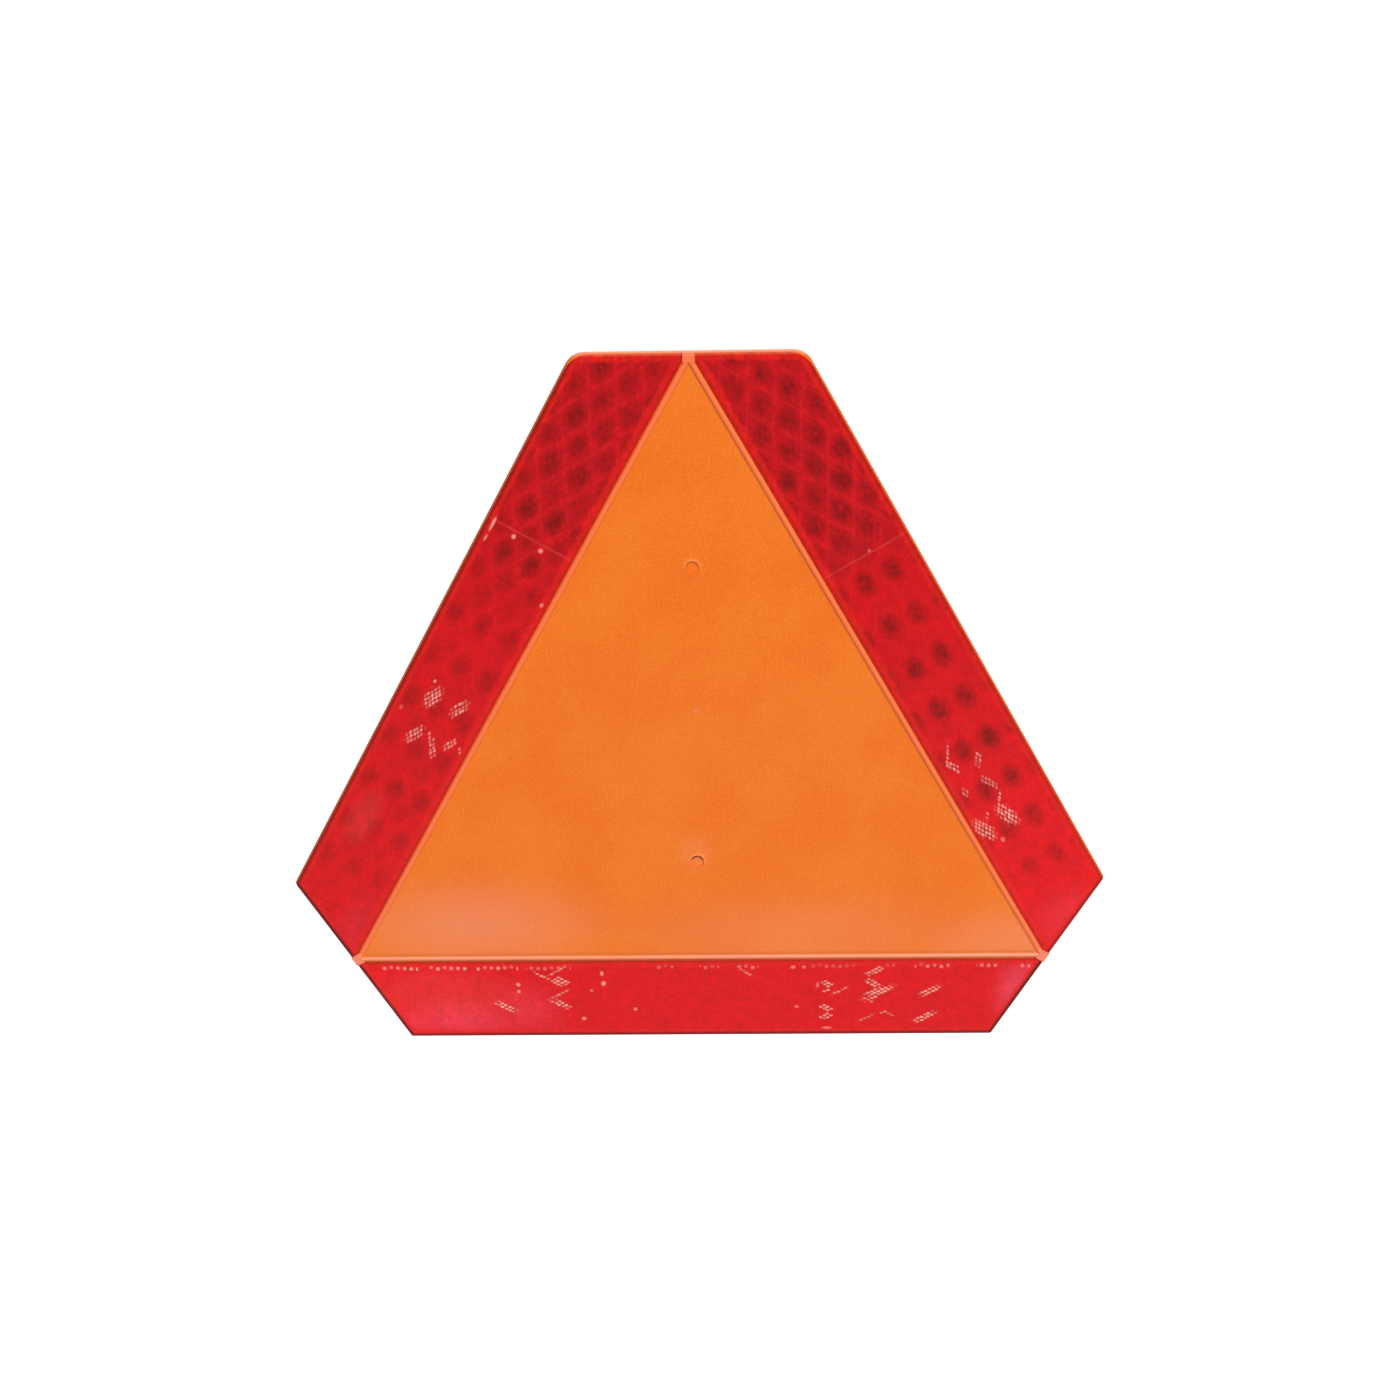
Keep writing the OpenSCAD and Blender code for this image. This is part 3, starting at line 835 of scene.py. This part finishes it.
def prismatic_film(name, start, end, shift, seam, edge_shade, pale_end):
    """Red acrylic film over rows of cast prisms, sealed to its backing along the sides of rhombic
    cells. The film is smooth and deep red. Where the prisms send the light away, the cells' dark
    middles and the deeper red are painted shade, and where they catch a lamp elsewhere they are
    painted highlights, rows of small bright dots."""
    material, tree = new_material("prismatic_film_" + name)
    place = on_tape(tree, start, end)
    tape_axes = add(tree, "SeparateXYZ", [place]).node.outputs
    run, rise = tape_axes[0], tape_axes[2]
    full_dark, between_dark, deep, lighter = levels_along(tree, run, LIGHT_AND_SHADE_ALONG[name])

    first = Vector((TRIANGLE_SIDE / 2 - shift, 0, BORDER_W / 2 + ROW_SHIFT))
    cells = add(
        tree,
        "Mapping",
        {
            "Vector": place,
            "Scale": CELL_SCALE,
            "Rotation": TO_CELLS.to_euler(),
            "Location": -(TO_CELLS @ (CELL_SCALE * first)),
        },
    )
    cell = add(tree, "VectorMath", [cells], operation="FLOOR")
    in_cell = add(tree, "VectorMath", [cells], operation="FRACTION")
    in_cell = add(tree, "VectorMath", [in_cell, (0.5, 0, 0.5)], operation="SUBTRACT")
    prisms = add(tree, "VectorMath", {0: cells, "Scale": float(PRISM_ROWS)}, operation="SCALE")
    prism = add(tree, "VectorMath", [prisms], operation="FLOOR")
    prism_chance = add(tree, "TexWhiteNoise", [prism])

    spot = dark_middles(tree, place, cell, in_cell, shift, full_dark, between_dark)
    margin, shaded_edge, pale_edge = tape_edges(tree, place, run, rise, edge_shade, pale_end)
    seal = cell_seals(tree, in_cell)
    cross_seal = 0.0
    if seam:
        seam_line = cross_seal_line(tree, run, shift, seam)
        seal = add(tree, "Math", (seal, seam_line), operation="MAXIMUM")
        cross_seal = add(tree, "Math", (seam_line, CROSS_SEAL_STRENGTH), operation="MULTIPLY")
    seen_seal = add(tree, "Math", (seal, deep), operation="MULTIPLY")
    seal_line = add(tree, "Math", (seen_seal, SEAL_STRENGTH), operation="MULTIPLY")

    glow, gaps = lit_prisms(tree, prisms, prism, prism_chance, first, GLINTS[name])
    bright = [soft_patches(tree, place, GLINT_SPECKS[name], SPECK_SOLID)]
    if name in GLINT_ROWS:
        bright.append(seal_glints(tree, run, rise, *GLINT_ROWS[name]))
    for specks in bright:
        glow = add(tree, "Math", (glow, specks), operation="MAXIMUM")

    # The colour, from the film up to the glints
    clouds = add(tree, "TexNoise", {"Vector": place, "Scale": 1 / CLOUD_SIZE, "Detail": 3.0})
    clouds = add(tree, "MapRange", (clouds, *NOISE, -CLOUDS, CLOUDS))
    layers = [
        (add(tree, "Math", (deep, clouds), operation="ADD", use_clamp=True), FILM_SHADED_RED),
        (spot, FILM_SHADED_DARK),
        (seal_line, SEAL_LINE_RED),
        (soft_patches(tree, place, FILM_REFLECTIONS[name]), REFLECTION_PINK),
        (margin, SEALED_RED),
        (cross_seal, CROSS_SEAL_PINK),
        (pale_edge, EDGE_SALMON),
        (shaded_edge, EDGE_SHADE_RED),
        (glow, GLINT_PINK),
    ]
    shade = film_shade(tree, place, prisms, prism_chance, deep, lighter, gaps)
    colour = layered(tree, FILM_RED, layers, shade)
    roughness = add(tree, "MapRange", (seen_seal, 0.0, 1.0, FILM_ROUGH, SEAL_ROUGH))
    waves = add(tree, "TexNoise", {"Vector": place, "Scale": 1 / WAVE_SIZE, "Detail": 2.0})
    relief = add(tree, "Math", (seen_seal, SEAL_SINK, waves), operation="MULTIPLY_ADD")
    finish_plastic(tree, colour, roughness, FILM_SPECULAR, relief, WAVE_DEPTH)
    return material


# ---------------------------------------------------------------- camera, lamp and floor

CAMERA_AT = Vector((16.4, -694.1, 272.0)) * MM
CAMERA_LOOK = Vector((-0.01865, 0.93495, -0.35428)).normalized()
CAMERA_UP = Vector((0.00922, 0.35449, 0.93501))
CAMERA_LENS = 40.107
SENSOR = 36.0
CLIP_START = 0.01

KEY_AT = Vector((1.5, -3.2, 3.9))
KEY_SIZE = 2.6
KEY_POWER = 258.0
SKY_LEVEL = 0.34
FLOOR_Z = -1.4
FLOOR_HALF = 4.0
FLOOR_WHITE = 0.75  # what the floor adds to its own shade where the camera or a mirror sees it


def photo_camera():
    """A camera where the photograph was taken from, worked out from the sign's six corners."""
    data = bpy.data.cameras.new("photo_camera")
    data.lens = CAMERA_LENS
    data.sensor_width = SENSOR
    data.clip_start = CLIP_START
    camera = bpy.data.objects.new("photo_camera", data)
    bpy.context.scene.collection.objects.link(camera)
    right = CAMERA_LOOK.cross(CAMERA_UP).normalized()
    up = right.cross(CAMERA_LOOK)
    turn = Matrix((right, up, -CAMERA_LOOK)).transposed()
    camera.matrix_world = Matrix.Translation(CAMERA_AT) @ turn.to_4x4()
    bpy.context.scene.camera = camera


def soft_lamp(name, at, size, power):
    """A square soft box that points at the middle of the sign."""
    data = bpy.data.lights.new(name, "AREA")
    data.size = size
    data.energy = power
    lamp = bpy.data.objects.new(name, data)
    bpy.context.scene.collection.objects.link(lamp)
    turn = (-at).to_track_quat("-Z", "Y").to_matrix()
    lamp.matrix_world = Matrix.Translation(at) @ turn.to_4x4()
    lamp.visible_camera = False


def seen_directly(tree):
    """1 for what the camera sees, straight or in a reflection or through glass, otherwise 0."""
    rays = add(tree, "LightPath").node.outputs
    seen = add(
        tree, "Math", (rays["Is Camera Ray"], rays["Is Glossy Ray"]), operation="MAXIMUM"
    )
    return add(tree, "Math", (seen, rays["Is Transmission Ray"]), operation="MAXIMUM")


def white_world():
    """Surroundings that look white, but light the sign at a plain level."""
    world = bpy.data.worlds.new("studio")
    world.use_nodes = True
    tree = world.node_tree
    tree.nodes.clear()
    level = add(tree, "MapRange", (seen_directly(tree), 0.0, 1.0, SKY_LEVEL, 1.0))
    sky = add(tree, "Background", {"Color": linear("#ffffff"), "Strength": level})
    add(tree, "OutputWorld", {"Surface": sky})
    bpy.context.scene.world = world


def paper_floor():
    """Matt pale paper, which looks evenly pale and keeps the sign's soft shadow."""
    material, tree = new_material("pale_paper_floor")
    paper = add(tree, "BsdfDiffuse", {"Color": linear("#e8e8e8")})
    white = add(tree, "Math", (seen_directly(tree), FLOOR_WHITE), operation="MULTIPLY")
    light = add(tree, "Emission", {"Color": linear("#ffffff"), "Strength": white})
    add(tree, "OutputMaterial", {"Surface": add(tree, "AddShader", (paper, light))})
    return material


def studio():
    """White surroundings, one soft key lamp from above on the right, and a pale floor."""
    white_world()
    soft_lamp("key_lamp", KEY_AT, KEY_SIZE, KEY_POWER)
    mesh = bpy.data.meshes.new("floor")
    corners = [(x, y, FLOOR_Z) for x, y in ((-1, -1), (1, -1), (1, 1), (-1, 1))]
    mesh.from_pydata([(x * FLOOR_HALF, y * FLOOR_HALF, z) for x, y, z in corners], [], [range(4)])
    floor = bpy.data.objects.new("floor", mesh)
    bpy.context.scene.collection.objects.link(floor)
    dress(floor, paper_floor())


# ---------------------------------------------------------------- putting it together

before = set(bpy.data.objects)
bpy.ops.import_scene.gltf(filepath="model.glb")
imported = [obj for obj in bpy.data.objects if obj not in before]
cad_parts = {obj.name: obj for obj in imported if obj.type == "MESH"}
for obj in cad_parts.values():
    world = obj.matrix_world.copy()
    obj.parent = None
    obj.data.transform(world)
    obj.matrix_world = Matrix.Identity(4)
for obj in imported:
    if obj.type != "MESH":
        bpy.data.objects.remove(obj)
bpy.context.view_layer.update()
bpy.context.scene.view_settings.view_transform = "Standard"
photo_camera()
studio()

dress(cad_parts["panel"], moulded_plastic())
for tape, facts in TAPES.items():
    dress(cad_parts[tape], prismatic_film(tape, **facts))
